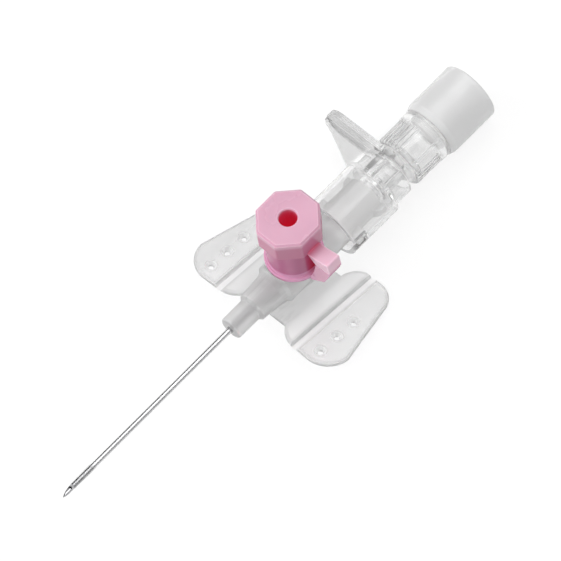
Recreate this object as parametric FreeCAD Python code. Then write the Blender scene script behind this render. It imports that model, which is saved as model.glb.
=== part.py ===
"""A winged IV cannula with an injection port, lying on a table.

The object is built in the frame of its own axis: +X runs along the needle to its tip, the nose
of the catheter hub ends at x = 0, and +Z runs up the injection port. At the end every piece is
turned by the same small angle and set down, so that the rear edges of the wings and the rim of
the plug touch z = 0, with the middle of the whole over the origin.

Lengths are in millimetres. Stations along the needle are negative behind the nose.
"""
import FreeCAD, Part
import math
import os

V = FreeCAD.Vector
ORIGIN = V(0, 0, 0)
ALONG_X = V(1, 0, 0)
ALONG_Y = V(0, 1, 0)
ALONG_Z = V(0, 0, 1)

# Fits between pieces
RUNNING_GAP = 0.04
SEAT_GAP = 0.01
SWIVEL_GAP = 0.08
CAP_GAP = 0.05

# Needle: a 21 gauge steel tube with a lancet point
NEEDLE_OD = 0.80
NEEDLE_BORE = 0.50
NEEDLE_STAND_OUT = 2.1
BEVEL_LENGTH = 2.3
LANCET_LENGTH = 0.9
LANCET_TURN = 28.0

# Catheter tube: 20 gauge, the size that a pink cap stands for
CATHETER_OD = 1.05
CATHETER_WALL = 0.095
CATHETER_LENGTH = 33.0
CATHETER_TAPER_LENGTH = 3.7
CATHETER_TIP_OD = 0.93

# Steel ferrule that wedges the flared tail of the catheter
FLARE_FRONT_X = -5.0
FLARE_REAR_X = -7.4
FLARE_REAR_R = 1.25
FERRULE_WALL = 0.10
FERRULE_RIM = 0.35

# Catheter hub, turned form
NOSE_R = 1.83
NOSE_ROUND = 0.35
NOSE_LENGTH = 4.15
NOSE_CHAMFER_LENGTH = 0.45
BARREL_FRONT_R = 2.32
BARREL_REAR_R = 2.58
SHOULDER_X = -8.3
SHOULDER_RISE_LENGTH = 0.85
SHOULDER_RISE = 0.22
SHOULDER_LENGTH = 1.3
BODY_R = 3.3
LUER_END_R = 2.95
LUER_END_X = -28.7
LUER_BORE_R = 2.15
LUER_BORE_LENGTH = 7.2
LUER_TAPER = 0.03
LUER_EAR_R = 3.78
LUER_EAR_LENGTH = 0.9
LUER_EAR_RAMP = 1.2
LUER_EAR_WIDTH = 2.0
KEY_EAR_FRONT_X = -22.3
KEY_EAR_LENGTH = 1.45
KEY_EAR_R = 4.5
KEY_EAR_WIDTH = 2.0
KEY_SLOT_GAP = 0.06

# Injection port on the hub
PORT_X = -13.9
PORT_TUBE_R = 3.12
PORT_TOP_Z = 9.45
PORT_PAD_Z = 2.35
PORT_MOUTH_R = 2.02
PORT_SOCKET_FLOOR_Z = 3.8
PORT_DUCT_R = 1.0

# Silicone sleeve valve in the hub's bore
VALVE_FRONT_X = -10.6
VALVE_LENGTH = 7.2
VALVE_OUTER_R = 1.65
VALVE_WALL = 0.45

# Wings
WING_PITCH = 9.25
WING_CENTRE_X = -13.05
WING_TOP_Z = -4.44
WING_THICKNESS = 0.8
WING_EDGE_ROUND = 0.36
WING_ROOT_FRONT = 6.38
WING_ROOT_REAR = -5.35
WING_VALLEY_Y = 4.0
WING_FRONT = 8.38
WING_REAR = -8.5
WING_SPAN = 29.0
GROOVE_Y = 7.42
GROOVE_TOP_WIDTH = 1.30
GROOVE_FLOOR_WIDTH = 0.80
GROOVE_DEPTH = 0.60
HOLE_Y = 10.75
HOLE_FRONT_U = 6.2
HOLE_SPACING = 3.46
HOLE_COUNT = 3
HOLE_R = 0.42
HOLE_MOUTH_R = 0.86
HOLE_MOUTH_DEPTH = 0.46
KEEL_FRONT_HALF_WIDTH = 1.2
KEEL_REAR_HALF_WIDTH = 2.0
KEEL_MARGIN = 0.5

# Pink collar round the port
COLLAR_R = 4.0
COLLAR_TOP_Z = 9.80
FLANGE_R = 4.42
FLANGE_HEIGHT = 0.90
FLANGE_ROUND = 0.25
STRAP_WIDTH = 2.5
STRAP_HEAD_Y = 8.45

# Pink flip cap
CAP_TOP_Z = 13.8
CAP_LENGTH = 9.35
CAP_WIDTH = 8.95
CAP_CORNER = 2.65
CAP_EDGE_CHAMFER = 0.32
CAP_CORNER_ROUND = 0.6
CAP_HOLE_R = 1.38
CAP_HOLE_FLOOR_Z = 8.0
CAP_PIN_FLOOR = 0.9
CAP_RECESS_INNER_R = 2.6
CAP_RECESS_OUTER_R = 3.75
CAP_RECESS_DEPTH = 2.4
TAB_TOP_Z = 10.0
TAB_BASE_Z = 8.50
TAB_REACH_Y = 8.65
TAB_LIP_HEIGHT = 0.85
TAB_LIP_LEAN = 0.22
HINGE_Y = 8.38
HINGE_Z = 8.42
HINGE_R = 0.24
HINGE_GAP = 0.03

# Clear needle hub
SLEEVE_R = 4.78
SLEEVE_WALL = 0.78
SLEEVE_FRONT_X = -21.2
SLEEVE_BEHIND_LUER = 1.7
SLEEVE_END_WALL = 0.6
CONE_LENGTH = 6.4
CONE_NOSE_WALL = 3.0
CHANNEL_R = 1.15
CORE_R = 2.15
SKIRT_R = 4.15
SKIRT_WALL = 0.65
SKIRT_LENGTH = 3.4
SKIRT_BLOCK_START = 52.0
SKIRT_BLOCK_SWEEP = 150.0
PLATE_GAP = 0.5
PLATE_THICKNESS = 0.95
PLATE_REACH_Y = 12.9
PLATE_HALF_HEIGHT = 2.9
WEB_THICKNESS = 0.9
WEB_TIP_LENGTH = 0.5
WEB_TIP_SETBACK = 0.12
WEB_ROOT_DEPTH = 0.4
NEEDLE_TAIL_DEPTH = 0.8

# Flash chamber and its rear neck
CHAMBER_GAP = 1.1
CHAMBER_LENGTH = 6.5
CHAMBER_R = 4.18
CHAMBER_RING_R = 4.28
CHAMBER_RING_LENGTH = 1.5
CHAMBER_WALL = 0.95
CHAMBER_ROUND = 0.30
NUB_R = 3.45
NUB_LENGTH = 0.9
FLUTE_PITCH = 10.0
FLUTE_R = 0.26
FLUTE_NEAR_START = -42.0
FLUTE_NEAR_COUNT = 7
FLUTE_FAR_START = 84.0
FLUTE_FAR_COUNT = 14
RAIL_ANGLE = 40.5
RAIL_WIDTH = 0.5
RAIL_HEIGHT = 0.22
NECK_R = 3.05
NECK_LENGTH = 5.6
NECK_BORE_R = 2.15
NECK_EAR_R = 3.8
NECK_EAR_LENGTH = 1.1

# White vent plug
PLUG_R = 4.72
PLUG_FRONT_GAP = 0.1
PLUG_LENGTH = 9.05
PLUG_WALL = 0.80
PLUG_END_WALL = 1.25
PLUG_FRONT_CHAMFER_LENGTH = 1.0
PLUG_FRONT_CHAMFER_DEPTH = 0.33
PLUG_REAR_ROUND = 0.25
PLUG_CONE_LENGTH = 6.3
PLUG_VENT_R = 0.8
PLUG_DISH_R = 3.2
PLUG_DISH_DEPTH = 0.35
FILTER_R = 1.35
FILTER_THICKNESS = 0.5
FILTER_SEAT_DEPTH = 1.2

CATHETER_BORE_R = CATHETER_OD / 2 - CATHETER_WALL
BARREL_FRONT_X = -NOSE_LENGTH - NOSE_CHAMFER_LENGTH
BODY_FRONT_X = SHOULDER_X - SHOULDER_LENGTH
KEY_EAR_REAR_X = KEY_EAR_FRONT_X - KEY_EAR_LENGTH
LUER_BORE_FRONT_X = LUER_END_X + LUER_BORE_LENGTH
LUER_BORE_FRONT_R = LUER_BORE_R - LUER_TAPER * LUER_BORE_LENGTH
SLEEVE_REAR_X = LUER_END_X - SLEEVE_BEHIND_LUER
SLEEVE_WALL_X = SLEEVE_REAR_X + SLEEVE_END_WALL
WEB_ROOT_X = SLEEVE_REAR_X + WEB_ROOT_DEPTH
NEEDLE_TAIL_X = SLEEVE_REAR_X - NEEDLE_TAIL_DEPTH
SKIRT_REAR_X = SLEEVE_REAR_X - SKIRT_LENGTH
PLATE_FRONT_X = SKIRT_REAR_X - PLATE_GAP
CHAMBER_FRONT_X = PLATE_FRONT_X - CHAMBER_GAP
CHAMBER_REAR_X = CHAMBER_FRONT_X - CHAMBER_LENGTH
PLUG_FRONT_X = CHAMBER_REAR_X - PLUG_FRONT_GAP
FLANGE_BASE_Z = PORT_PAD_Z + SWIVEL_GAP
COLLAR_BORE_R = PORT_TUBE_R + SWIVEL_GAP
CAP_BASE_Z = COLLAR_TOP_Z + CAP_GAP
NECK_REAR_X = CHAMBER_REAR_X - NECK_LENGTH
PLUG_REAR_X = PLUG_FRONT_X - PLUG_LENGTH


def outline(corners):
    """A closed wire in the XY plane through (x, y, rounding) corners."""
    count = len(corners)
    turns = []
    for index, (x, y, radius) in enumerate(corners):
        here = V(x, y, 0)
        last = V(corners[index - 1][0], corners[index - 1][1], 0)
        following = corners[(index + 1) % count]
        back = last - here
        ahead = V(following[0], following[1], 0) - here
        if radius <= 0:
            turns.append((here, None, here))
            continue
        room = 0.49 * min(back.Length, ahead.Length)
        back.normalize()
        ahead.normalize()
        half = back.getAngle(ahead) / 2
        reach = min(radius / math.tan(half), room)
        radius = reach * math.tan(half)
        middle_way = (back + ahead).normalize()
        centre = here + middle_way * (radius / math.sin(half))
        middle = centre - middle_way * radius
        turns.append((here + back * reach, middle, here + ahead * reach))
    edges = []
    for index, (start, middle, end) in enumerate(turns):
        if middle is not None:
            edges.append(Part.Arc(start, middle, end).toShape())
        next_start = turns[(index + 1) % count][0]
        if end.distanceToPoint(next_start) > 1e-7:
            edges.append(Part.LineSegment(end, next_start).toShape())
    return Part.Wire(edges)


def turned(corners):
    """A solid turned about the X axis from (x, radius, rounding) corners."""
    face = Part.Face(outline(corners))
    return face.revolve(ORIGIN, ALONG_X, 360)


def turned_about_port(corners):
    """A solid turned about the port's axis from (radius, z, rounding) corners."""
    face = Part.Face(outline(corners))
    face.rotate(ORIGIN, ALONG_X, 90)
    solid = face.revolve(ORIGIN, ALONG_Z, 360)
    solid.translate(V(PORT_X, 0, 0))
    return solid


def side_prism(corners, width):
    """A solid of the given width in X, centred on the port, from (y, z, rounding) corners."""
    face = Part.Face(outline(corners))
    face.rotate(ORIGIN, V(1, 1, 1), 120)
    face.translate(V(PORT_X - width / 2, 0, 0))
    return face.extrude(V(width, 0, 0))


def rod(x_front, x_rear, radius):
    """A cylinder on the needle's axis."""
    return Part.makeCylinder(radius, x_front - x_rear, V(x_rear, 0, 0), ALONG_X)


def taper(x_front, r_front, x_rear, r_rear):
    """A cone frustum on the needle's axis."""
    return Part.makeCone(r_rear, r_front, x_front - x_rear, V(x_rear, 0, 0), ALONG_X)


def block(x0, x1, y0, y1, z0, z1):
    """A box between two corners."""
    return Part.makeBox(x1 - x0, y1 - y0, z1 - z0, V(x0, y0, z0))


def about_x(shape, angle):
    """A copy turned about the needle's axis."""
    copy = shape.copy()
    copy.rotate(ORIGIN, ALONG_X, angle)
    return copy


def flare_radius(x):
    """Outer radius of the catheter's flared tail, which the hub's seat follows."""
    share = (FLARE_FRONT_X - x) / (FLARE_FRONT_X - FLARE_REAR_X)
    return CATHETER_OD / 2 + share * (FLARE_REAR_R - CATHETER_OD / 2)


def wing_placed(shape):
    """Moves a shape from the wings' own plane to its pitched place under the hub."""
    shape.rotate(ORIGIN, ALONG_Y, -WING_PITCH)
    shape.translate(V(WING_CENTRE_X, 0, WING_TOP_Z))
    return shape


def wing_surface_z(x):
    """Height of the wings' top face at a station under the hub."""
    return WING_TOP_Z + math.tan(math.radians(WING_PITCH)) * (x - WING_CENTRE_X)


def wing_half():
    """One wing from the middle out, flat. +X is its front."""
    tip_y = WING_SPAN / 2
    corners = [
        V(WING_ROOT_FRONT, 0, 0),
        V(WING_ROOT_FRONT, WING_VALLEY_Y, 0),
        V(WING_FRONT - 0.1, GROOVE_Y - 0.4, 0),
        V(WING_FRONT, tip_y - 4.0, 0),
        V(WING_FRONT - 4.1, tip_y, 0),
        V(WING_REAR + 2.9, tip_y - 2.15, 0),
        V(WING_REAR, tip_y - 5.2, 0),
        V(WING_REAR, GROOVE_Y - 1.2, 0),
        V(WING_ROOT_REAR - 0.2, WING_VALLEY_Y - 0.15, 0),
        V(WING_ROOT_REAR, 0, 0),
    ]
    front_lobe = V(WING_FRONT - 0.72, WING_VALLEY_Y + 1.25, 0)
    front_tip = V(WING_FRONT - 1.0, tip_y - 1.5, 0)
    rear_tip = V(WING_REAR + 0.75, tip_y - 3.35, 0)
    rear_lobe = V(WING_REAR + 0.95, WING_VALLEY_Y + 0.75, 0)
    edges = [
        Part.LineSegment(corners[0], corners[1]).toShape(),
        Part.Arc(corners[1], front_lobe, corners[2]).toShape(),
        Part.LineSegment(corners[2], corners[3]).toShape(),
        Part.Arc(corners[3], front_tip, corners[4]).toShape(),
        Part.LineSegment(corners[4], corners[5]).toShape(),
        Part.Arc(corners[5], rear_tip, corners[6]).toShape(),
        Part.LineSegment(corners[6], corners[7]).toShape(),
        Part.Arc(corners[7], rear_lobe, corners[8]).toShape(),
        Part.LineSegment(corners[8], corners[9]).toShape(),
        Part.LineSegment(corners[9], corners[0]).toShape(),
    ]
    return Part.Face(Part.Wire(edges)).extrude(V(0, 0, -WING_THICKNESS))


def wing_cuts():
    """The groove and the holes of one wing, flat."""
    top = GROOVE_TOP_WIDTH / 2
    floor = GROOVE_FLOOR_WIDTH / 2
    groove = Part.Face(Part.makePolygon([
        V(WING_REAR - 1, GROOVE_Y - top, 0),
        V(WING_REAR - 1, GROOVE_Y + top, 0),
        V(WING_REAR - 1, GROOVE_Y + floor, -GROOVE_DEPTH),
        V(WING_REAR - 1, GROOVE_Y - floor, -GROOVE_DEPTH),
        V(WING_REAR - 1, GROOVE_Y - top, 0),
    ])).extrude(V(WING_FRONT - WING_REAR + 2, 0, 0))
    cuts = [groove]
    for number in range(HOLE_COUNT):
        u = HOLE_FRONT_U - number * HOLE_SPACING
        hole = Part.makeCylinder(HOLE_R, WING_THICKNESS + 0.2, V(u, HOLE_Y, -WING_THICKNESS - 0.1))
        mouth = Part.makeCone(HOLE_R, HOLE_MOUTH_R, HOLE_MOUTH_DEPTH,
                              V(u, HOLE_Y, -HOLE_MOUTH_DEPTH))
        cuts += [hole, mouth]
    return cuts


def wings():
    """Both wings as one plate, pitched under the hub."""
    half = wing_half()
    plate = half.fuse(half.mirror(ORIGIN, ALONG_Y)).removeSplitter()
    rim = []
    for edge in plate.Edges:
        level = [vertex.Point.z for vertex in edge.Vertexes]
        if max(level) - min(level) < 1e-6:
            rim.append(edge)
    plate = plate.makeFillet(WING_EDGE_ROUND, rim)
    for cut in wing_cuts():
        plate = plate.cut(cut).cut(cut.mirror(ORIGIN, ALONG_Y))
    return wing_placed(plate)


def keel():
    """The web that carries the barrel on the wings."""
    cosine = math.cos(math.radians(WING_PITCH))
    front = WING_CENTRE_X + (WING_ROOT_FRONT - KEEL_MARGIN) * cosine
    rear = WING_CENTRE_X + (WING_ROOT_REAR + KEEL_MARGIN) * cosine
    sunk = WING_THICKNESS / 2
    foot = Part.Face(Part.makePolygon([
        V(front, -KEEL_FRONT_HALF_WIDTH, wing_surface_z(rear) - sunk),
        V(front, KEEL_FRONT_HALF_WIDTH, wing_surface_z(rear) - sunk),
        V(rear, KEEL_REAR_HALF_WIDTH, wing_surface_z(rear) - sunk),
        V(rear, -KEEL_REAR_HALF_WIDTH, wing_surface_z(rear) - sunk),
        V(front, -KEEL_FRONT_HALF_WIDTH, wing_surface_z(rear) - sunk),
    ]))
    web = foot.extrude(V(0, 0, -(wing_surface_z(rear) - sunk)))
    below = Part.Face(Part.makePolygon([
        V(front + 1, -BODY_R, wing_surface_z(front + 1) - sunk),
        V(rear - 1, -BODY_R, wing_surface_z(rear - 1) - sunk),
        V(front + 1, -BODY_R, wing_surface_z(rear - 1) - BODY_R),
        V(front + 1, -BODY_R, wing_surface_z(front + 1) - sunk),
    ])).extrude(V(0, 2 * BODY_R, 0))
    return web.cut(below)


def luer_ears():
    """The pair of luer lock ears at the hub's rear end, with sloping fronts."""
    front = LUER_END_X + LUER_EAR_LENGTH
    ring = turned([
        (front + LUER_EAR_RAMP, LUER_END_R - 0.1, 0),
        (front, LUER_EAR_R, 0.2),
        (LUER_END_X, LUER_EAR_R, 0),
        (LUER_END_X, LUER_END_R - 0.1, 0),
    ])
    bar = block(LUER_END_X, front + LUER_EAR_RAMP, -LUER_EAR_R, LUER_EAR_R,
                -LUER_EAR_WIDTH / 2, LUER_EAR_WIDTH / 2)
    return ring.common(bar)


def key_ears():
    """The pair of ears that the needle hub's front slots fit over."""
    ring = turned([
        (KEY_EAR_FRONT_X, BODY_R - 0.4, 0),
        (KEY_EAR_FRONT_X, KEY_EAR_R, 0.15),
        (KEY_EAR_REAR_X + 0.4, KEY_EAR_R, 0.3),
        (KEY_EAR_REAR_X, KEY_EAR_R - 0.55, 0.2),
        (KEY_EAR_REAR_X, BODY_R - 0.4, 0),
    ])
    bar = block(KEY_EAR_REAR_X, KEY_EAR_FRONT_X, -KEY_EAR_R, KEY_EAR_R,
                -KEY_EAR_WIDTH / 2, KEY_EAR_WIDTH / 2)
    return ring.common(bar)


def make_catheter_hub():
    body = turned([
        (0, 0, 0),
        (0, NOSE_R, NOSE_ROUND),
        (-NOSE_LENGTH, NOSE_R, 0),
        (BARREL_FRONT_X, BARREL_FRONT_R, 0),
        (SHOULDER_X, BARREL_REAR_R, 0.3),
        (SHOULDER_X - SHOULDER_RISE_LENGTH, BARREL_REAR_R + SHOULDER_RISE, 0.4),
        (BODY_FRONT_X, BODY_R, 0.1),
        (LUER_END_X, LUER_END_R, 0),
        (LUER_END_X, 0, 0),
    ])
    pad_cut = Part.makeCylinder(FLANGE_R + 0.15, BODY_R, V(PORT_X, 0, PORT_PAD_Z))
    tube = Part.makeCylinder(PORT_TUBE_R, PORT_TOP_Z, V(PORT_X, 0, 0))
    body = body.cut(pad_cut).fuse([tube, keel(), wings(), luer_ears(), key_ears()])

    bore_r = CATHETER_OD / 2 + SEAT_GAP
    seat = taper(FLARE_FRONT_X, bore_r, FLARE_REAR_X, FLARE_REAR_R + SEAT_GAP)
    hollows = [
        rod(1, FLARE_FRONT_X, bore_r),
        seat,
        rod(FLARE_REAR_X, VALVE_FRONT_X, FLARE_REAR_R + SEAT_GAP),
        rod(VALVE_FRONT_X, LUER_BORE_FRONT_X, VALVE_OUTER_R + SEAT_GAP),
        taper(LUER_BORE_FRONT_X, LUER_BORE_FRONT_R, LUER_END_X, LUER_BORE_R),
        Part.makeCylinder(PORT_DUCT_R, PORT_TOP_Z, V(PORT_X, 0, 0)),
        Part.makeCone(port_bore_r(PORT_SOCKET_FLOOR_Z), PORT_MOUTH_R,
                      PORT_TOP_Z - PORT_SOCKET_FLOOR_Z, V(PORT_X, 0, PORT_SOCKET_FLOOR_Z)),
    ]
    for hollow in hollows:
        body = body.cut(hollow)
    return body.removeSplitter()


def port_bore_r(z):
    """Radius of the port's luer socket at a height."""
    return PORT_MOUTH_R - LUER_TAPER * (PORT_TOP_Z - z)


def make_catheter_tube():
    outer = CATHETER_OD / 2
    taper_x = CATHETER_LENGTH - CATHETER_TAPER_LENGTH
    return turned([
        (CATHETER_LENGTH, CATHETER_BORE_R, 0),
        (CATHETER_LENGTH, CATHETER_TIP_OD / 2, 0),
        (taper_x, outer, 0),
        (FLARE_FRONT_X, outer, 0),
        (FLARE_REAR_X, FLARE_REAR_R, 0),
        (FLARE_REAR_X, FLARE_REAR_R - CATHETER_WALL, 0),
        (FLARE_FRONT_X, CATHETER_BORE_R, 0),
    ])


def make_catheter_ferrule():
    lining = CATHETER_WALL + SEAT_GAP
    front = FLARE_FRONT_X - 0.35
    outer_front = flare_radius(front) - lining
    outer_rear = FLARE_REAR_R - lining
    rim_x = FLARE_REAR_X - FERRULE_RIM
    return turned([
        (front, outer_front - FERRULE_WALL / 2, 0),
        (front, outer_front, 0),
        (FLARE_REAR_X, outer_rear, 0),
        (rim_x, outer_rear, 0),
        (rim_x, outer_rear - FERRULE_WALL, 0),
        (FLARE_REAR_X, outer_rear - FERRULE_WALL, 0),
    ])


def make_port_valve():
    rear = VALVE_FRONT_X - VALVE_LENGTH
    sleeve = rod(VALVE_FRONT_X - SEAT_GAP, rear, VALVE_OUTER_R)
    return sleeve.cut(rod(VALVE_FRONT_X, rear, VALVE_OUTER_R - VALVE_WALL))


def make_needle():
    tip_x = CATHETER_LENGTH + NEEDLE_STAND_OUT
    radius = NEEDLE_OD / 2
    tube = rod(tip_x, NEEDLE_TAIL_X, radius)
    slope = math.degrees(math.atan2(NEEDLE_OD, BEVEL_LENGTH))
    waste = block(-BEVEL_LENGTH, 2 * BEVEL_LENGTH, -NEEDLE_OD, NEEDLE_OD, 0, 2 * NEEDLE_OD)
    waste.rotate(ORIGIN, ALONG_Y, slope)
    waste.translate(V(tip_x, 0, -radius))
    tube = tube.cut(waste)
    for side in (-1, 1):
        facet = block(-LANCET_LENGTH * 2, LANCET_LENGTH, -NEEDLE_OD, NEEDLE_OD, 0, NEEDLE_OD)
        facet.rotate(ORIGIN, ALONG_Y, slope)
        facet.rotate(ORIGIN, ALONG_Z, side * LANCET_TURN / 2)
        facet.rotate(ORIGIN, ALONG_X, side * LANCET_TURN)
        facet.translate(V(tip_x, 0, -radius))
        tube = tube.cut(facet)
    return tube.cut(rod(tip_x + 1, NEEDLE_TAIL_X - 1, NEEDLE_BORE / 2))


def make_port_collar():
    ring = turned_about_port([
        (COLLAR_BORE_R, FLANGE_BASE_Z, 0),
        (FLANGE_R, FLANGE_BASE_Z, FLANGE_ROUND),
        (FLANGE_R, FLANGE_BASE_Z + FLANGE_HEIGHT, FLANGE_ROUND),
        (COLLAR_R, FLANGE_BASE_Z + FLANGE_HEIGHT, 0.12),
        (COLLAR_R, COLLAR_TOP_Z, 0.15),
        (COLLAR_BORE_R, COLLAR_TOP_Z, 0),
    ])
    base = FLANGE_BASE_Z
    top = TAB_BASE_Z - HINGE_GAP * 4
    strap = side_prism([
        (COLLAR_R - 0.3, base, 0),
        (FLANGE_R + 0.1, base, 0.3),
        (STRAP_HEAD_Y - 1.25, base + 2.35, 1.7),
        (STRAP_HEAD_Y - 0.12, top - 0.9, 0.6),
        (HINGE_Y - 0.02, HINGE_Z - HINGE_R / 2, 0),
        (HINGE_Y - 0.25, top, 0),
        (STRAP_HEAD_Y - 2.5, top, 0.2),
        (STRAP_HEAD_Y - 3.2, base + 3.2, 1.2),
        (FLANGE_R, base + FLANGE_HEIGHT, 0.3),
        (COLLAR_R - 0.3, base + FLANGE_HEIGHT, 0),
    ], STRAP_WIDTH)
    strap = strap.cut(Part.makeCylinder(COLLAR_BORE_R + 0.3, CAP_TOP_Z, V(PORT_X, 0, 0)))
    knuckle = Part.makeCylinder(HINGE_R, STRAP_WIDTH,
                                V(PORT_X - STRAP_WIDTH / 2, HINGE_Y, HINGE_Z), ALONG_X)
    return ring.fuse([strap, knuckle]).removeSplitter()


def make_port_cap():
    half_x = CAP_LENGTH / 2
    half_y = CAP_WIDTH / 2
    corners = []
    for sx, sy in ((1, 1), (-1, 1), (-1, -1), (1, -1)):
        along = (sx * (half_x - CAP_CORNER), sy * half_y, CAP_CORNER_ROUND)
        across = (sx * half_x, sy * (half_y - CAP_CORNER), CAP_CORNER_ROUND)
        corners += [across, along] if sx * sy > 0 else [along, across]
    head = Part.Face(outline(corners)).extrude(V(0, 0, CAP_TOP_Z - CAP_BASE_Z))
    head.translate(V(PORT_X, 0, CAP_BASE_Z))
    rim = [edge for edge in head.Edges
           if all(abs(vertex.Point.z - CAP_TOP_Z) < 1e-6 for vertex in edge.Vertexes)]
    head = head.makeChamfer(CAP_EDGE_CHAMFER, rim)

    recess = turned_about_port([
        (CAP_RECESS_INNER_R, CAP_BASE_Z - 1, 0),
        (CAP_RECESS_OUTER_R, CAP_BASE_Z - 1, 0),
        (CAP_RECESS_OUTER_R, CAP_BASE_Z + CAP_RECESS_DEPTH, 0.3),
        (CAP_RECESS_INNER_R, CAP_BASE_Z + CAP_RECESS_DEPTH, 0.3),
    ])
    pin_base = CAP_HOLE_FLOOR_Z - CAP_PIN_FLOOR
    play = SWIVEL_GAP + RUNNING_GAP / 2
    pin = turned_about_port([
        (0, pin_base, 0),
        (port_bore_r(pin_base) - play, pin_base, 0.25),
        (port_bore_r(CAP_BASE_Z + 0.5) - play, CAP_BASE_Z + 0.5, 0),
        (0, CAP_BASE_Z + 0.5, 0),
    ])
    tab = side_prism([
        (half_y - 0.8, TAB_TOP_Z, 0),
        (half_y - 0.8, CAP_BASE_Z, 0),
        (half_y + 0.15, CAP_BASE_Z, 0.2),
        (half_y + 1.45, TAB_BASE_Z, 0.2),
        (HINGE_Y - 0.1, TAB_BASE_Z, 0),
        (TAB_REACH_Y, TAB_BASE_Z + 0.3, 0.1),
        (TAB_REACH_Y - TAB_LIP_LEAN, TAB_TOP_Z + TAB_LIP_HEIGHT, 0.25),
        (half_y + 1.6, TAB_TOP_Z + 0.1, 2.0),
    ], STRAP_WIDTH)
    socket = Part.makeCylinder(HINGE_R + HINGE_GAP, STRAP_WIDTH + 1,
                               V(PORT_X - STRAP_WIDTH / 2 - 0.5, HINGE_Y, HINGE_Z), ALONG_X)
    hole = turned_about_port([
        (0, CAP_HOLE_FLOOR_Z, 0),
        (CAP_HOLE_R, CAP_HOLE_FLOOR_Z, 0.4),
        (CAP_HOLE_R, CAP_TOP_Z - 0.15, 0),
        (CAP_HOLE_R + 0.15, CAP_TOP_Z + 0.001, 0),
        (0, CAP_TOP_Z + 0.001, 0),
    ])
    cap = head.cut(recess).fuse([pin, tab])
    return cap.cut(hole).cut(socket).removeSplitter()


def key_slots():
    """The two slots in the sleeve's front edge, one over each of the hub's key ears."""
    half = KEY_EAR_WIDTH / 2 + KEY_SLOT_GAP
    slot = block(KEY_EAR_REAR_X - KEY_SLOT_GAP, SLEEVE_FRONT_X + 1, SLEEVE_R - 2 * SLEEVE_WALL,
                 SLEEVE_R + 1, -half, half)
    return [slot, about_x(slot, 180)]


def grip_plate():
    """The upright plate at the side that the finger pushes, round at its end."""
    centre_y = -(PLATE_REACH_Y - PLATE_HALF_HEIGHT)
    upright = block(PLATE_FRONT_X - PLATE_THICKNESS, PLATE_FRONT_X, centre_y, -CORE_R + 0.3,
                    -PLATE_HALF_HEIGHT, PLATE_HALF_HEIGHT)
    end = Part.makeCylinder(PLATE_HALF_HEIGHT, PLATE_THICKNESS,
                            V(PLATE_FRONT_X - PLATE_THICKNESS, centre_y, 0), ALONG_X)
    return upright.fuse(end)


def grip_web():
    """The level web in front of the grip plate, with its hollow front edge."""
    root_y = -math.sqrt(SLEEVE_R ** 2 - (WEB_THICKNESS / 2) ** 2)
    tip_x = PLATE_FRONT_X + WEB_TIP_LENGTH
    tip_y = -(PLATE_REACH_Y - WEB_TIP_SETBACK)
    start = V(WEB_ROOT_X, root_y - 0.1, 0)
    end = V(tip_x + 0.35, tip_y + 0.8, 0)
    sag = V(tip_x + 2.2, tip_y + 4.9, 0)
    corner = V(tip_x, tip_y, 0)
    plate_end = V(PLATE_FRONT_X - PLATE_THICKNESS / 2, tip_y, 0)
    plate_root = V(PLATE_FRONT_X - PLATE_THICKNESS / 2, -CORE_R + 0.4, 0)
    inner = V(WEB_ROOT_X, -CORE_R + 0.4, 0)
    curl = V(tip_x + 0.2, tip_y + 0.25, 0)
    edges = [
        Part.Arc(start, sag, end).toShape(),
        Part.Arc(end, curl, corner).toShape(),
        Part.LineSegment(corner, plate_end).toShape(),
        Part.LineSegment(plate_end, plate_root).toShape(),
        Part.LineSegment(plate_root, inner).toShape(),
        Part.LineSegment(inner, start).toShape(),
    ]
    web = Part.Face(Part.Wire(edges)).extrude(V(0, 0, WEB_THICKNESS))
    web.translate(V(0, 0, -WEB_THICKNESS / 2))
    return web


def skirt_block():
    """The solid sector of the body on the grip plate's side."""
    x_front = SLEEVE_REAR_X + 0.2
    sector = turned([
        (x_front, CORE_R - 0.3, 0),
        (x_front, SKIRT_R - 0.2, 0),
        (SKIRT_REAR_X, SKIRT_R - 0.2, 0),
        (SKIRT_REAR_X, CORE_R - 0.3, 0),
    ])
    reach = 2 * SKIRT_R
    start = math.radians(SKIRT_BLOCK_START)
    end = math.radians(SKIRT_BLOCK_START + SKIRT_BLOCK_SWEEP)
    middle = (start + end) / 2
    wedge = Part.Face(Part.makePolygon([
        V(SKIRT_REAR_X, 0, 0),
        V(SKIRT_REAR_X, reach * math.cos(start), reach * math.sin(start)),
        V(SKIRT_REAR_X, 2 * reach * math.cos(middle), 2 * reach * math.sin(middle)),
        V(SKIRT_REAR_X, reach * math.cos(end), reach * math.sin(end)),
        V(SKIRT_REAR_X, 0, 0),
    ])).extrude(V(x_front - SKIRT_REAR_X, 0, 0))
    return sector.common(wedge)


def chamber_flutes():
    """Fine lengthwise grooves on both sides of the flash chamber."""
    angles = [FLUTE_NEAR_START + number * FLUTE_PITCH for number in range(FLUTE_NEAR_COUNT)]
    angles += [FLUTE_FAR_START + number * FLUTE_PITCH for number in range(FLUTE_FAR_COUNT)]
    rear = CHAMBER_REAR_X + CHAMBER_RING_LENGTH + 0.3
    flute = Part.makeCylinder(FLUTE_R, CHAMBER_FRONT_X + 0.1 - rear,
                              V(rear, CHAMBER_R + 0.08, 0), ALONG_X)
    return [about_x(flute, angle) for angle in angles]


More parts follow.
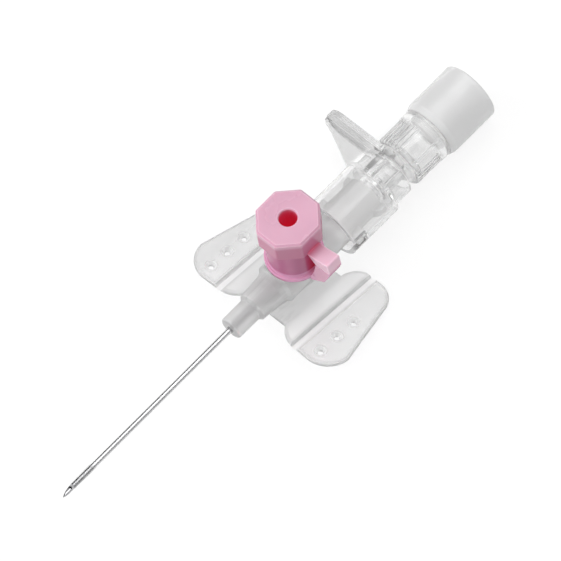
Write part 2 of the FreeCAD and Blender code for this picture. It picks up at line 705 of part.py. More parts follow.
def chamber_rail():
    """The low rail beside the chamber's smooth top, round at its front end."""
    front = CHAMBER_FRONT_X - CHAMBER_ROUND - RAIL_WIDTH / 2
    rear = CHAMBER_REAR_X + 0.3
    bar = block(rear, front, CHAMBER_R - 0.3, CHAMBER_R + RAIL_HEIGHT,
                -RAIL_WIDTH / 2, RAIL_WIDTH / 2)
    end = Part.makeCylinder(RAIL_WIDTH / 2, RAIL_HEIGHT + 0.3, V(front, CHAMBER_R - 0.3, 0),
                            ALONG_Y)
    return about_x(bar.fuse(end), RAIL_ANGLE)


def make_needle_hub():
    sleeve_bore = SLEEVE_R - SLEEVE_WALL
    cone_front = LUER_END_X + CONE_LENGTH
    gap = RUNNING_GAP
    cone_r = LUER_BORE_R - LUER_TAPER * CONE_LENGTH - gap
    body = turned([
        (cone_front, 0, 0),
        (cone_front, cone_r, 0.2),
        (LUER_END_X, LUER_BORE_R - gap, 0),
        (SLEEVE_WALL_X, LUER_BORE_R - gap, 0),
        (SLEEVE_WALL_X, sleeve_bore, 0),
        (SLEEVE_FRONT_X, sleeve_bore, 0),
        (SLEEVE_FRONT_X, SLEEVE_R, 0.12),
        (SLEEVE_REAR_X, SLEEVE_R, 0.2),
        (SLEEVE_REAR_X, SKIRT_R, 0),
        (SKIRT_REAR_X, SKIRT_R, 0.15),
        (SKIRT_REAR_X, SKIRT_R - SKIRT_WALL, 0),
        (SLEEVE_REAR_X - 0.3, SKIRT_R - SKIRT_WALL, 0.3),
        (SLEEVE_REAR_X - 0.3, CORE_R, 0.3),
        (CHAMBER_FRONT_X + NUB_LENGTH, CORE_R, 0),
        (CHAMBER_FRONT_X + NUB_LENGTH, NUB_R - 0.7, 0.2),
        (CHAMBER_FRONT_X + 0.35, NUB_R, 0.4),
        (CHAMBER_FRONT_X, NUB_R, 0),
        (CHAMBER_FRONT_X, CHAMBER_R, CHAMBER_ROUND),
        (CHAMBER_REAR_X + CHAMBER_RING_LENGTH + 0.3, CHAMBER_R, 0),
        (CHAMBER_REAR_X + CHAMBER_RING_LENGTH, CHAMBER_RING_R, 0.1),
        (CHAMBER_REAR_X, CHAMBER_RING_R, 0.1),
        (CHAMBER_REAR_X, NECK_R, 0),
        (NECK_REAR_X, NECK_R, 0.15),
        (NECK_REAR_X, 0, 0),
    ])
    ears = rod(NECK_REAR_X + NECK_EAR_LENGTH, NECK_REAR_X, NECK_EAR_R).common(
        block(NECK_REAR_X, NECK_REAR_X + NECK_EAR_LENGTH, -1.0, 1.0, -NECK_EAR_R, NECK_EAR_R))
    body = body.fuse([skirt_block(), grip_plate(), grip_web(), ears, chamber_rail()])
    for cut in chamber_flutes() + key_slots():
        body = body.cut(cut)

    chamber_bore = CHAMBER_R - CHAMBER_WALL
    bore_front_x = CHAMBER_FRONT_X - CHAMBER_WALL
    bore_rear_x = CHAMBER_REAR_X + 0.2
    neck_bore_front = NECK_BORE_R - LUER_TAPER * NECK_LENGTH
    hollow = turned([
        (bore_front_x, 0, 0),
        (bore_front_x, chamber_bore, 0.4),
        (bore_rear_x, chamber_bore, 0.2),
        (bore_rear_x, neck_bore_front, 0),
        (NECK_REAR_X, NECK_BORE_R, 0),
        (NECK_REAR_X, 0, 0),
    ])
    channel = rod(cone_front - CONE_NOSE_WALL, bore_front_x - 0.5, CHANNEL_R)
    needle_hole = rod(cone_front + 1, cone_front - CONE_NOSE_WALL - 0.5, NEEDLE_OD / 2 + SEAT_GAP)
    for cavity in (hollow, channel, needle_hole):
        body = body.cut(cavity)
    return body.removeSplitter()


def make_vent_plug():
    bore = PLUG_R - PLUG_WALL
    floor_x = PLUG_REAR_X + PLUG_END_WALL
    cone_tip_x = floor_x + PLUG_CONE_LENGTH
    cone_gap = RUNNING_GAP
    neck_r_at_tip = NECK_BORE_R - LUER_TAPER * (cone_tip_x - NECK_REAR_X)
    shell = turned([
        (cone_tip_x, 0, 0),
        (cone_tip_x, neck_r_at_tip - cone_gap, 0.2),
        (floor_x, NECK_BORE_R - cone_gap, 0),
        (floor_x, bore, 0.3),
        (PLUG_FRONT_X, bore, 0),
        (PLUG_FRONT_X, PLUG_R - PLUG_FRONT_CHAMFER_DEPTH, 0),
        (PLUG_FRONT_X - PLUG_FRONT_CHAMFER_LENGTH, PLUG_R, 0.3),
        (PLUG_REAR_X, PLUG_R, PLUG_REAR_ROUND),
        (PLUG_REAR_X, PLUG_DISH_R, 0),
        (PLUG_REAR_X + PLUG_DISH_DEPTH, PLUG_DISH_R - 0.3, 0),
        (PLUG_REAR_X + PLUG_DISH_DEPTH, 0, 0),
    ])
    vent = rod(cone_tip_x + 1, PLUG_REAR_X - 1, PLUG_VENT_R)
    seat = rod(cone_tip_x + 1, cone_tip_x - FILTER_SEAT_DEPTH, FILTER_R + SEAT_GAP)
    return shell.cut(vent).cut(seat)


def make_vent_filter():
    cone_tip_x = PLUG_REAR_X + PLUG_END_WALL + PLUG_CONE_LENGTH
    floor_x = cone_tip_x - FILTER_SEAT_DEPTH
    return rod(floor_x + FILTER_THICKNESS, floor_x, FILTER_R)


def at_rest(pieces):
    """Turns the pieces about Y and sets them down on the wings' rounded rear edges and the plug."""
    middle = V(WING_REAR + WING_EDGE_ROUND, 0, WING_EDGE_ROUND - WING_THICKNESS)
    wing_middle = wing_placed(Part.Vertex(middle)).Vertexes[0].Point
    plug_point = V(PLUG_REAR_X + PLUG_REAR_ROUND, 0, -PLUG_R)
    reach = wing_middle - plug_point
    tilt = math.degrees(math.asin(WING_EDGE_ROUND / reach.Length) - math.atan2(reach.z, reach.x))
    for shape in pieces.values():
        shape.rotate(ORIGIN, ALONG_Y, -tilt)
    box = Part.makeCompound(list(pieces.values())).optimalBoundingBox()
    shift = V(-(box.XMin + box.XMax) / 2, -(box.YMin + box.YMax) / 2, -box.ZMin)
    for shape in pieces.values():
        shape.translate(shift)
    return tilt, shift


PIECES = {
    "catheter_hub": make_catheter_hub(),
    "catheter_tube": make_catheter_tube(),
    "catheter_ferrule": make_catheter_ferrule(),
    "port_valve": make_port_valve(),
    "port_collar": make_port_collar(),
    "port_cap": make_port_cap(),
    "needle": make_needle(),
    "needle_hub": make_needle_hub(),
    "vent_plug": make_vent_plug(),
    "vent_filter": make_vent_filter(),
}
REST_TILT, REST_SHIFT = at_rest(PIECES)

os.makedirs("parts", exist_ok=True)
for name, shape in PIECES.items():
    shape.exportStep("parts/" + name + ".step")
    print(name, "solids", len(shape.Solids), "volume", round(shape.Volume, 2), shape.isValid())
print("rest tilt", round(REST_TILT, 3), "shift", REST_SHIFT)
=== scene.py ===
# %% [markdown]
# # An IV cannula in its own finishes
# The model comes in as ten solids: the winged catheter hub with its tube and wedge ring, the
# port with its valve, collar and cap, and the needle set with its vent plug. They stay as they
# are. This script gives each one the plastic, steel or paper it is made of, and sets up the
# table, the light and the camera.

import bmesh
import bpy
from mathutils import Matrix, Vector


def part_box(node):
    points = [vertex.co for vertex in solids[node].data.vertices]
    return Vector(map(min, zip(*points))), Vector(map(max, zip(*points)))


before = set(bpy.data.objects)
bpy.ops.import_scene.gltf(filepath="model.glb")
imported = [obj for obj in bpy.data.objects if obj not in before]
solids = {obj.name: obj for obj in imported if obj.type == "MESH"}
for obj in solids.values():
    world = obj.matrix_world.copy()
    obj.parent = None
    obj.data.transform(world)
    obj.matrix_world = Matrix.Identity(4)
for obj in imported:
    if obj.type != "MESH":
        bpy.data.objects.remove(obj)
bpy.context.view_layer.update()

print("solids:", ", ".join(sorted(solids)))

# %% [markdown]
# ## The camera
# The picture looks down on the cannula from above, a little from its front and its left, and is
# turned so that the tip points to the lower left of the frame. A camera can be turned with
# angles, but three rods are easier to read here: one points to the right of the picture, one to
# its top and one back to the lens. Together they are the camera's own axes. A long lens far away
# keeps the needle's sides parallel, as they are on a small thing photographed from a table's
# length off.

# %% Place the camera
RIGHT = Vector((-0.67057, 0.73030, -0.13062))
UP = Vector((-0.70167, -0.56710, 0.43144))
BACK = Vector((0.24100, 0.38090, 0.89270))
LOOK_AT = Vector((-1.610, 1.300, 9.877)) / 1000     # the middle of the picture, from mm to m
DISTANCE = 1.667                                    # m
FOCAL, SENSOR = 749.0, 36.0                         # mm
NEAREST = 0.05                                      # m, nothing nearer is drawn

lens = bpy.data.cameras.new("camera")
lens.lens, lens.sensor_width, lens.clip_start = FOCAL, SENSOR, NEAREST
camera = bpy.data.objects.new("camera", lens)
bpy.context.scene.collection.objects.link(camera)
camera.matrix_world = (Matrix.Translation(LOOK_AT + BACK * DISTANCE)
                       @ Matrix((RIGHT, UP, BACK)).transposed().to_4x4())
bpy.context.scene.camera = camera
print("camera at", [round(v, 3) for v in camera.matrix_world.translation])

# %% [markdown]
# ## Two helpers for node trees
# Much of a material is masks: numbers from 0 to 1 that change over a surface. Nearly all of them
# come from two nodes. Map Range turns one stretch of a value into another, and Math does sums.
# Each takes several lines to set up, so each gets a helper.

# %% Helpers for ramps and sums
def ramp(tree, value, start, end, low=0.0, high=1.0, soft=False):
    """Goes from low to high while the value goes from start to end, and stays there."""
    node = tree.nodes.new("ShaderNodeMapRange")
    node.interpolation_type = "SMOOTHSTEP" if soft else "LINEAR"
    node.inputs["From Min"].default_value, node.inputs["From Max"].default_value = start, end
    node.inputs["To Min"].default_value, node.inputs["To Max"].default_value = low, high
    tree.links.new(value, node.inputs["Value"])
    return node


def sums(tree, operation, first, second=None, clamp=False):
    """One Math node. The second term is another node's output, or a plain number."""
    node = tree.nodes.new("ShaderNodeMath")
    node.operation, node.use_clamp = operation, clamp
    tree.links.new(first, node.inputs[0])
    if isinstance(second, bpy.types.NodeSocket):
        tree.links.new(second, node.inputs[1])
    elif second is not None:
        node.inputs[1].default_value = second
    return node.outputs[0]


# %% [markdown]
# ## The table
# Small clear things are photographed on white. The table could be lit until it turns white, but
# then the clear plastic in front of it turns white too. So the table gives off a little light of
# its own and ends just at white, which also keeps the shadows under the wings faint. It gives
# less of it to the matt faces, or their lower sides would look as bright as their tops.

# %% Lay the table
TABLE = 4.0               # m
TABLE_GREY = 0.20         # what it sends back of the lamps' light
SEEN = 0.80               # its own light, as the camera sees it, also through clear plastic
FELT = 0.40               # its own light, as it falls on the matt faces

slab = bpy.data.meshes.new("table")
top = bmesh.new()
bmesh.ops.create_grid(top, x_segments=1, y_segments=1, size=TABLE / 2)
top.to_mesh(slab)
top.free()
table = bpy.data.objects.new("table", slab)
bpy.context.scene.collection.objects.link(table)

white = bpy.data.materials.new("table_white")
white.use_nodes = True
tree = white.node_tree
paint = tree.nodes["Principled BSDF"]
paint.inputs["Base Color"].default_value = (TABLE_GREY, TABLE_GREY, TABLE_GREY, 1)
paint.inputs["Roughness"].default_value = 0.9
paint.inputs["Specular IOR Level"].default_value = 0.1
paint.inputs["Emission Color"].default_value = (1, 1, 1, 1)
ray = tree.nodes.new("ShaderNodeLightPath")
own = ramp(tree, ray.outputs["Is Diffuse Ray"], 0.0, 1.0, SEEN, FELT)
tree.links.new(own.outputs[0], paint.inputs["Emission Strength"])
slab.materials.append(white)
print("table", TABLE, "m wide, own light", SEEN, "seen and", FELT, "felt")

# %% [markdown]
# ## The tent
# Around the table hangs a tent of white cloth. Left plain, it would make clear plastic vanish:
# its edges only show because something darker stands at the sides. So the light falls off
# towards the horizon. A dark card, which photographers call a flag, stands at the left of the
# picture, and the polished needle takes its dark edge from it. A world shader does both with the
# direction that it is looked at in.

# %% Hang the tent
HORIZON = 0.30, 0.50      # light from the horizon, at the left and at the right of the picture
ABOVE = 0.95, 0.90        # light from above, at the left and at the right of the picture
CHANGE = 0.20, 0.75       # the heights between which the one becomes the other, of 1
FLAG = 0.12               # light from the flag
FLAG_SIDE = -0.50, -0.72  # where it starts and is full, across the cannula, of 1
FLAG_TOP = 0.82, 0.62     # where it ends and is full in height, of 1

world = bpy.data.worlds.new("tent")
bpy.context.scene.world = world
world.use_nodes = True
sky = world.node_tree
where = sky.nodes.new("ShaderNodeTexCoord")
parts = sky.nodes.new("ShaderNodeSeparateXYZ")
sky.links.new(where.outputs["Generated"], parts.inputs[0])
across, height = parts.outputs["Y"], parts.outputs["Z"]
glow = ramp(sky, height, *CHANGE, soft=True)
for (left, right), (far, near), socket in ((HORIZON, (-0.9, 0.0), "To Min"),
                                           (ABOVE, (-0.7, 0.7), "To Max")):
    sky.links.new(ramp(sky, across, far, near, left, right).outputs[0], glow.inputs[socket])
print("tent: horizon", HORIZON, "above", ABOVE)

# %% Stand the flag in it
flag = sums(sky, "MULTIPLY", ramp(sky, across, *FLAG_SIDE, soft=True).outputs[0],
            ramp(sky, height, *FLAG_TOP, soft=True).outputs[0])
dim = ramp(sky, flag, 0.0, 1.0, high=FLAG)
sky.links.new(glow.outputs[0], dim.inputs["To Min"])
sky.links.new(dim.outputs[0], sky.nodes["Background"].inputs["Color"])
print("flag:", FLAG)


# %% [markdown]
# ## The lamps
# An area lamp is a flat window of light. The long narrow one overhead has straight edges, and
# round plastic shows them as one crisp band along its top. The wide one at the left of the
# picture gives the shapes a bright and a shaded side, and the weak tall one at its bottom fills
# the faces that look that way. These two are kept out of reflections. Otherwise, the cap's lid
# would turn white where they mirror in it, and the needle would show them too.

# %% Hang the lamps
def lamp(name, towards, away, size, energy):
    """One soft box, this far away in a direction seen from the cannula, and facing it."""
    light = bpy.data.lights.new(name, "AREA")
    light.shape = "RECTANGLE"
    light.size, light.size_y = size
    light.energy = energy
    box = bpy.data.objects.new(name, light)
    bpy.context.scene.collection.objects.link(box)
    towards = Vector(towards).normalized()
    box.matrix_world = (Matrix.Translation(towards * away)
                        @ towards.to_track_quat("Z", "X").to_matrix().to_4x4())
    box.visible_camera = False
    print(name, "at", [round(v, 2) for v in towards * away], "m")
    return box


# direction, how far away in m, size in m, energy in W
lamp("overhead_box", (-0.28, 0.04, 0.95), 0.5, (0.19, 0.60), 0.7)
key = lamp("left_box", (0.62, -0.62, 0.50), 0.8, (0.5, 0.5), 4.5)
fill = lamp("front_strip", (0.62, 0.62, 0.32), 0.8, (0.45, 0.90), 0.75)
key.visible_glossy = fill.visible_glossy = False

# %% Show colours plainly
view = bpy.context.scene.view_settings
view.view_transform, view.look, view.exposure, view.gamma = "Standard", "None", 0.0, 1.0
print("view transform:", view.view_transform)

# %% [markdown]
# A path through the sleeve, the hub inside it and the needle's own hub crosses a dozen faces of
# plastic, and would be cut off as black half way. So light may take more turns than usual.

# %% Let light through
TURNS = 28
paths = bpy.context.scene.cycles
paths.max_bounces = paths.transmission_bounces = TURNS
print("light paths may take", paths.max_bounces, "turns")

# %% [markdown]
# ## What moulded plastic looks like close up
# A moulded face is never quite even. The melt cools in soft clouds, so its gloss changes a
# little from place to place, and the mould's own steel leaves a fine grain. Both could be
# painted per material, but every plastic here needs them, so they are one node group with its
# scales as inputs. It gives a cloud mask, a roughness and a height, and each material decides
# what to do with them.

# %% Build the moulded surface group
moulded = bpy.data.node_groups.new("moulded_surface", "ShaderNodeTree")
for name, value in (("Cloud Scale", 150.0), ("Grain Scale", 6000.0),
                    ("Smooth", 0.2), ("Rough", 0.3)):
    socket = moulded.interface.new_socket(name, in_out="INPUT", socket_type="NodeSocketFloat")
    socket.default_value = value
moulded.interface.new_socket("Vector", in_out="INPUT", socket_type="NodeSocketVector")
for name in ("Cloud", "Roughness", "Height"):
    moulded.interface.new_socket(name, in_out="OUTPUT", socket_type="NodeSocketFloat")

entry = moulded.nodes.new("NodeGroupInput")
leave = moulded.nodes.new("NodeGroupOutput")
clouds = moulded.nodes.new("ShaderNodeTexNoise")
clouds.inputs["Detail"].default_value = 3.0
grain = moulded.nodes.new("ShaderNodeTexNoise")
grain.inputs["Detail"].default_value = 2.0
spread = ramp(moulded, clouds.outputs["Fac"], 0.35, 0.65)
gloss = ramp(moulded, spread.outputs[0], 0.0, 1.0)
join = moulded.links.new
for texture, scale in ((clouds, "Cloud Scale"), (grain, "Grain Scale")):
    join(entry.outputs["Vector"], texture.inputs["Vector"])
    join(entry.outputs[scale], texture.inputs["Scale"])
join(spread.outputs[0], leave.inputs["Cloud"])
join(entry.outputs["Smooth"], gloss.inputs["To Min"])
join(entry.outputs["Rough"], gloss.inputs["To Max"])
join(gloss.outputs[0], leave.inputs["Roughness"])
join(grain.outputs["Fac"], leave.inputs["Height"])
print("group sockets:", [s.name for s in moulded.interface.items_tree])


# %% [markdown]
# ## Where edges catch the light
# A rounded edge on soft plastic scatters light sideways, so it shows as a paler line on the pink
# parts and a greyer one on the clear wings. These lines are painted into the colour: a painted
# highlight on the pink parts and painted shade on the clear ones. The Bevel node gives the
# normal that a face would have if its edges were rounded, and the more that differs from the
# true normal, the nearer the edge is. This mask is a second group, used wherever an edge needs
# its painted line.

# %% Build the edge group
edges = bpy.data.node_groups.new("soft_edges", "ShaderNodeTree")
for name, value in (("Radius", 0.0003), ("Sharpness", 0.97)):
    socket = edges.interface.new_socket(name, in_out="INPUT", socket_type="NodeSocketFloat")
    socket.default_value = value
edges.interface.new_socket("Edge", in_out="OUTPUT", socket_type="NodeSocketFloat")
entry = edges.nodes.new("NodeGroupInput")
leave = edges.nodes.new("NodeGroupOutput")
rounded = edges.nodes.new("ShaderNodeBevel")
rounded.samples = 6
true_face = edges.nodes.new("ShaderNodeNewGeometry")
agree = edges.nodes.new("ShaderNodeVectorMath")
agree.operation = "DOT_PRODUCT"
near = ramp(edges, agree.outputs["Value"], 0.97, 0.80)
join = edges.links.new
join(entry.outputs["Radius"], rounded.inputs["Radius"])
join(entry.outputs["Sharpness"], near.inputs["From Min"])
join(rounded.outputs["Normal"], agree.inputs[0])
join(true_face.outputs["Normal"], agree.inputs[1])
join(near.outputs[0], leave.inputs["Edge"])
print("group sockets:", [s.name for s in edges.interface.items_tree])


# %% [markdown]
# ## One plastic
# A plastic here is a Principled shader whose base colour, roughness and bump come from the
# moulded surface group. What is the same all over, such as its transmission, is set on the
# shader itself, where the glTF export can read it.

# %% A helper that makes one plastic
GRAIN_DEPTH = 0.0001      # m, which each plastic's bump takes its share of


def plastic(name, pale, deep, smooth, rough, cloud=150.0, grain_scale=6000.0, bump=0.02,
            **sockets):
    """A moulded plastic between two colours, with uniform values set on the shader itself."""
    material = bpy.data.materials.new(name)
    material.use_nodes = True
    tree = material.node_tree
    shader = tree.nodes["Principled BSDF"]
    place = tree.nodes.new("ShaderNodeTexCoord")
    surface = tree.nodes.new("ShaderNodeGroup")
    surface.name, surface.node_tree = "moulded surface", moulded
    surface.inputs["Cloud Scale"].default_value = cloud
    surface.inputs["Grain Scale"].default_value = grain_scale
    surface.inputs["Smooth"].default_value = smooth
    surface.inputs["Rough"].default_value = rough
    tint = tree.nodes.new("ShaderNodeMix")
    tint.data_type = "RGBA"
    tint.inputs["A"].default_value = (*pale, 1)
    tint.inputs["B"].default_value = (*deep, 1)
    relief = tree.nodes.new("ShaderNodeBump")
    relief.inputs["Strength"].default_value = bump
    relief.inputs["Distance"].default_value = GRAIN_DEPTH
    link = tree.links.new
    link(place.outputs["Object"], surface.inputs["Vector"])
    link(surface.outputs["Cloud"], tint.inputs["Factor"])
    link(tint.outputs["Result"], shader.inputs["Base Color"])
    link(surface.outputs["Roughness"], shader.inputs["Roughness"])
    link(surface.outputs["Height"], relief.inputs["Height"])
    link(relief.outputs["Normal"], shader.inputs["Normal"])
    for socket, value in sockets.items():
        shader.inputs[socket.replace("_", " ")].default_value = value
    print(name, "smooth", smooth, "rough", rough)
    return material


def dress(node, material):
    """Gives a CAD solid one material in every slot it has."""
    if not solids[node].data.materials:
        solids[node].data.materials.append(material)
    for held in solids[node].material_slots:
        held.material = material


# %% [markdown]
# ## Thick and thin parts, and painted light and shade
# A moulding in one plastic still changes its look with its thickness: a thin web passes more
# light than a solid corner. Measuring the true thickness in a shader is slow, but the places
# are known, so a mask along one of the object's own directions does it. The same masks also lay
# painted light and painted shade where a side or a part is lit or shaded. Two small helpers make
# such masks, a step and a band.

# %% Helpers for zones
def along(material, axis, mirrored=False):
    """The object's own X, Y or Z at the point, or its distance from the middle plane."""
    tree = material.node_tree
    parts = tree.nodes.new("ShaderNodeSeparateXYZ")
    tree.links.new(tree.nodes["Texture Coordinate"].outputs["Object"], parts.inputs[0])
    return sums(tree, "ABSOLUTE", parts.outputs[axis]) if mirrored else parts.outputs[axis]


def step(material, place, none, full):
    """A mask that rises from the first place to the second, both in mm."""
    return ramp(material.node_tree, place, none / 1000, full / 1000, soft=True).outputs[0]


def band(material, place, middle, half):
    """A mask that is full at one place and none this far to each side of it, both in mm."""
    tree = material.node_tree
    away = sums(tree, "ABSOLUTE", sums(tree, "SUBTRACT", place, middle / 1000))
    return step(material, away, half, half * 0.6)


# %% [markdown]
# ## Faces, rims and edges
# Three more masks follow the shape instead of a place. One finds the faces that turn away from
# level by their normal. One finds rims with ambient occlusion that looks inside the plastic:
# near a rim, the inside is cut short. The third is the edge group from above.

# %% Helpers for faces, rims and edges
def steep(material):
    """A mask of the faces that turn away from straight up or down."""
    tree = material.node_tree
    face = tree.nodes.new("ShaderNodeNewGeometry")
    parts = tree.nodes.new("ShaderNodeSeparateXYZ")
    tree.links.new(face.outputs["Normal"], parts.inputs[0])
    return ramp(tree, sums(tree, "ABSOLUTE", parts.outputs["Z"]), 0.95, 0.75).outputs[0]


def rim_of(material, depth):
    """A mask that rises within this many mm of a rim, felt from inside the plastic."""
    tree = material.node_tree
    inside = tree.nodes.new("ShaderNodeAmbientOcclusion")
    inside.inside = inside.only_local = True
    inside.samples = 12
    inside.inputs["Distance"].default_value = depth / 1000
    return ramp(tree, inside.outputs["AO"], 0.98, 0.80).outputs[0]


def edge_of(material, radius):
    """A mask of the edges of this solid, this wide, in mm."""
    holder = material.node_tree.nodes.new("ShaderNodeGroup")
    holder.node_tree = edges
    holder.inputs["Radius"].default_value = radius / 1000
    return holder.outputs["Edge"]


# %% [markdown]
# ## Streaks
# Faint lines along X serve as painted light and shade: lines of light and shade on the hub's
# wide end seen through the sleeve, and the grey of the chamber's flutes. The hub's taper also
# gets faint grey streaks. A noise that is stretched along X makes them: the Mapping node
# squeezes the other two directions, so its spots turn into long streaks.

# %% A helper for streaks
def streaks(material, fine, long):
    """A mask of soft streaks along X, this wide and this long in mm."""
    tree = material.node_tree
    stretch = tree.nodes.new("ShaderNodeMapping")
    stretch.inputs["Scale"].default_value = 1000 / long, 1000 / fine, 1000 / fine
    flow = tree.nodes.new("ShaderNodeTexNoise")
    flow.inputs["Scale"].default_value = 1.0
    flow.inputs["Detail"].default_value = 1.0
    tree.links.new(tree.nodes["Texture Coordinate"].outputs["Object"], stretch.inputs["Vector"])
    tree.links.new(stretch.outputs[0], flow.inputs["Vector"])
    return ramp(tree, flow.outputs["Fac"], 0.45, 0.62).outputs[0]


# %% [markdown]
# ## Masks together
# A zone is often where two masks meet, such as the rims of the grip plate alone, or where one or
# the other is. Multiplying gives the first, and taking the larger gives the second.

# %% Helpers that join masks
def times(material, first, second, gain=1.0):
    """Two masks multiplied, and their product turned up or down."""
    tree = material.node_tree
    product = sums(tree, "MULTIPLY", first, second, clamp=True)
    return sums(tree, "MULTIPLY", product, gain, clamp=True)


def either(material, first, second):
    """The stronger of two masks at each point."""
    return sums(material.node_tree, "MAXIMUM", first, second)


# %% [markdown]
# ## What a mask does to a plastic
# A mask can lay a colour over the base, make the surface rougher, or paint a glow into it with
# emission. The first two put a Mix node in front of the shader's socket, so several can follow
# each other, and the last one laid is on top.

# %% Helpers that use a mask
def lay(material, mask, colour):
    """Mixes a colour over whatever feeds the base colour, where the mask is."""
    tree = material.node_tree
    base = tree.nodes["Principled BSDF"].inputs["Base Color"]
    over = tree.nodes.new("ShaderNodeMix")
    over.data_type = "RGBA"
    over.inputs["B"].default_value = (*colour, 1)
    tree.links.new(mask, over.inputs["Factor"])
    tree.links.new(base.links[0].from_socket, over.inputs["A"])
    tree.links.new(over.outputs["Result"], base)


def shade(material, *layers):
    """Lays greys over the base colour, one after the other: a mask and its grey each time."""
    for mask, grey in layers:
        lay(material, mask, (grey, grey, grey))
    print(material.name, "greys:", [grey for mask, grey in layers])


def roughen(material, mask, roughness):
    """Mixes a roughness over whatever feeds the roughness, where the mask is."""
    tree = material.node_tree
    base = tree.nodes["Principled BSDF"].inputs["Roughness"]
    over = tree.nodes.new("ShaderNodeMix")
    over.inputs["B"].default_value = roughness
    tree.links.new(mask, over.inputs["Factor"])
    tree.links.new(base.links[0].from_socket, over.inputs["A"])
    tree.links.new(over.outputs["Result"], base)


def light_up(material, mask, strength):
    """Paints a glow with emission, where the mask is, for light that the plastic has piped to
    its edges.
    """
    shader = material.node_tree.nodes["Principled BSDF"]
    material.node_tree.links.new(mask, shader.inputs["Emission Color"])
    shader.inputs["Emission Strength"].default_value = strength


# %% [markdown]
# ## The frosted catheter hub
# The hub and its wings are one moulding in a soft milky plastic that lets light through but no
# picture. Scattering inside the body would be the full account of it, but it hides the steel
# ring that shows as a smudge in the nose. A rough glass that is slightly grey keeps that
# smudge, lets the thin wings look lighter than the thick hub, and renders quickly. The wings
# were pressed thin against a polished mould, so they are glossier than the body.

# %% Frosted hub
WING = 4.0, 5.5           # mm out from the middle, where the body becomes wing

hub = plastic("hub_frosted", (0.87, 0.87, 0.87), (0.83, 0.83, 0.83), 0.40, 0.46,
              cloud=220.0, bump=0.03, Transmission_Weight=0.72, IOR=1.49)
length, across, aside = along(hub, "X"), along(hub, "Y"), along(hub, "Y", mirrored=True)
wing = step(hub, aside, *WING)
surface = hub.node_tree.nodes["moulded surface"]
for socket, on_body, on_wing in (("Smooth", 0.40, 0.20), ("Rough", 0.46, 0.25)):
    polish = ramp(hub.node_tree, wing, 0.0, 1.0, on_body, on_wing)
    hub.node_tree.links.new(polish.outputs[0], surface.inputs[socket])
dress("catheter_hub", hub)

# %% [markdown]
# ### The hub's two ends
# The wide end sits in the clear sleeve, and one sees it through two walls. They take some of its
# light, so it is painted paler here, as painted light, with faint painted lines of light and
# shade along it and painted shade on its half at the grip's side, and a painted glow with
# emission gives a little light back. The nose is solid around the steel ring, so it is the
# greyest part, and its taper has faint grey streaks.

# %% Shade the ends
LUER = -11.5, -13.5       # mm along X, where the wide end starts
NOSE = 3.4, 4.2           # mm along X, where the nose starts
TAPER = -3.0, 0.0         # mm along X, where the streaks of the taper fade in
SHADED_HALF = 0.6, 0.0      # mm across, where the painted shade on the grip's half starts
BRIGHT_LINE = 1.6, 1.6    # mm across, a line of painted glow along the other half, and half its width
BRIGHT_SIDES = 3.0, 3.4   # mm out from the middle, where the painted glow on the two sides starts

# painted light on the wide end, painted shade on its grip's half, and a painted glow below
luer = step(hub, length, *LUER)
shade(hub, (luer, 1.0),
      (times(hub, streaks(hub, 0.7, 12.0), luer), 0.90),
      (times(hub, luer, step(hub, across, *SHADED_HALF)), 0.88),
      (step(hub, length, *NOSE), 0.77),
      (times(hub, streaks(hub, 0.5, 6.0), step(hub, length, *TAPER)), 0.76))
lit = either(hub, band(hub, across, *BRIGHT_LINE), step(hub, aside, *BRIGHT_SIDES))
light_up(hub, times(hub, luer, lit), 0.07)

# %% [markdown]
# ### The wings
# Each wing is a thin plate with a rounded rim, a groove to fold it along, and three holes. The
# rim and the faces that turn down to it are painted greyer, as painted shade for light that runs
# along them instead of through, and the walls of the holes are painted paler, as painted light.
# The floor of the groove is the thinnest place and is painted white for the light it lets
# through, with lines of painted shade beside it. The wing on the grip's side is painted greyer
# towards its end, as painted shade, and on the other wing the panel between body and groove is
# painted paler, as painted light where the cap's shadow falls.

# %% Shade the wings
FOLD = 7.42               # mm out from the middle, the groove's own middle
FLOOR = 0.75              # mm, half the groove's width
FLOOR_WITH_SIDES = 1.0    # mm, the same with the groove's sides
HOLES, HOLE = 10.75, 1.8  # mm out from the middle, the row of holes, and half its width
ROW = -2.2, 6.0           # mm along X, the middle of the row and half its length
RIM = 0.72                # mm, how far the grey rim reaches in
OUTER = 8.3, 8.8          # mm out from the middle, where the part outside the groove starts
SHADED_WING_END = -9.5, -12.5   # mm across, where the painted shade on the wing at the grip's side starts
LIT_PANEL = (3.8, 5.0), (7.6, 6.8)    # mm across, both ends of the panel between body and groove, painted paler as painted light
SHADE_LINES = (6.88, 0.24, 0.68), (8.06, 0.16, 0.80), (-6.82, 0.18, 0.74)   # place, half width and grey of each line of painted shade beside the groove

turned = times(hub, steep(hub), step(hub, aside, *OUTER))
lit_panel = times(hub, *(step(hub, across, *end) for end in LIT_PANEL))
holes = times(hub, band(hub, aside, HOLES, HOLE), band(hub, length, *ROW))
# painted shade on rims, turned faces, the grip's side and the groove's lines; painted light on
# panel, hole walls and floor
shade(hub, (wing, 0.88),
      (step(hub, across, *SHADED_WING_END), 0.80),
      (lit_panel, 0.98),
      (turned, 0.80),
      (times(hub, rim_of(hub, RIM), wing), 0.69),
      (times(hub, steep(hub), holes), 0.95),
      (band(hub, aside, FOLD, FLOOR), 1.0),
      *((band(hub, across, place, half), grey) for place, half, grey in SHADE_LINES))

# %% [markdown]
# ### Where the wings are duller
# Polished faces that turn away show the table in thin bright scratches, which real wings don't
# have. So these faces, the groove with its sides and the panels next to the body are rougher.

# %% Dull the turned faces
INNER = (3.8, 4.2), (6.9, 6.6)    # mm out from the middle, both ends of each panel

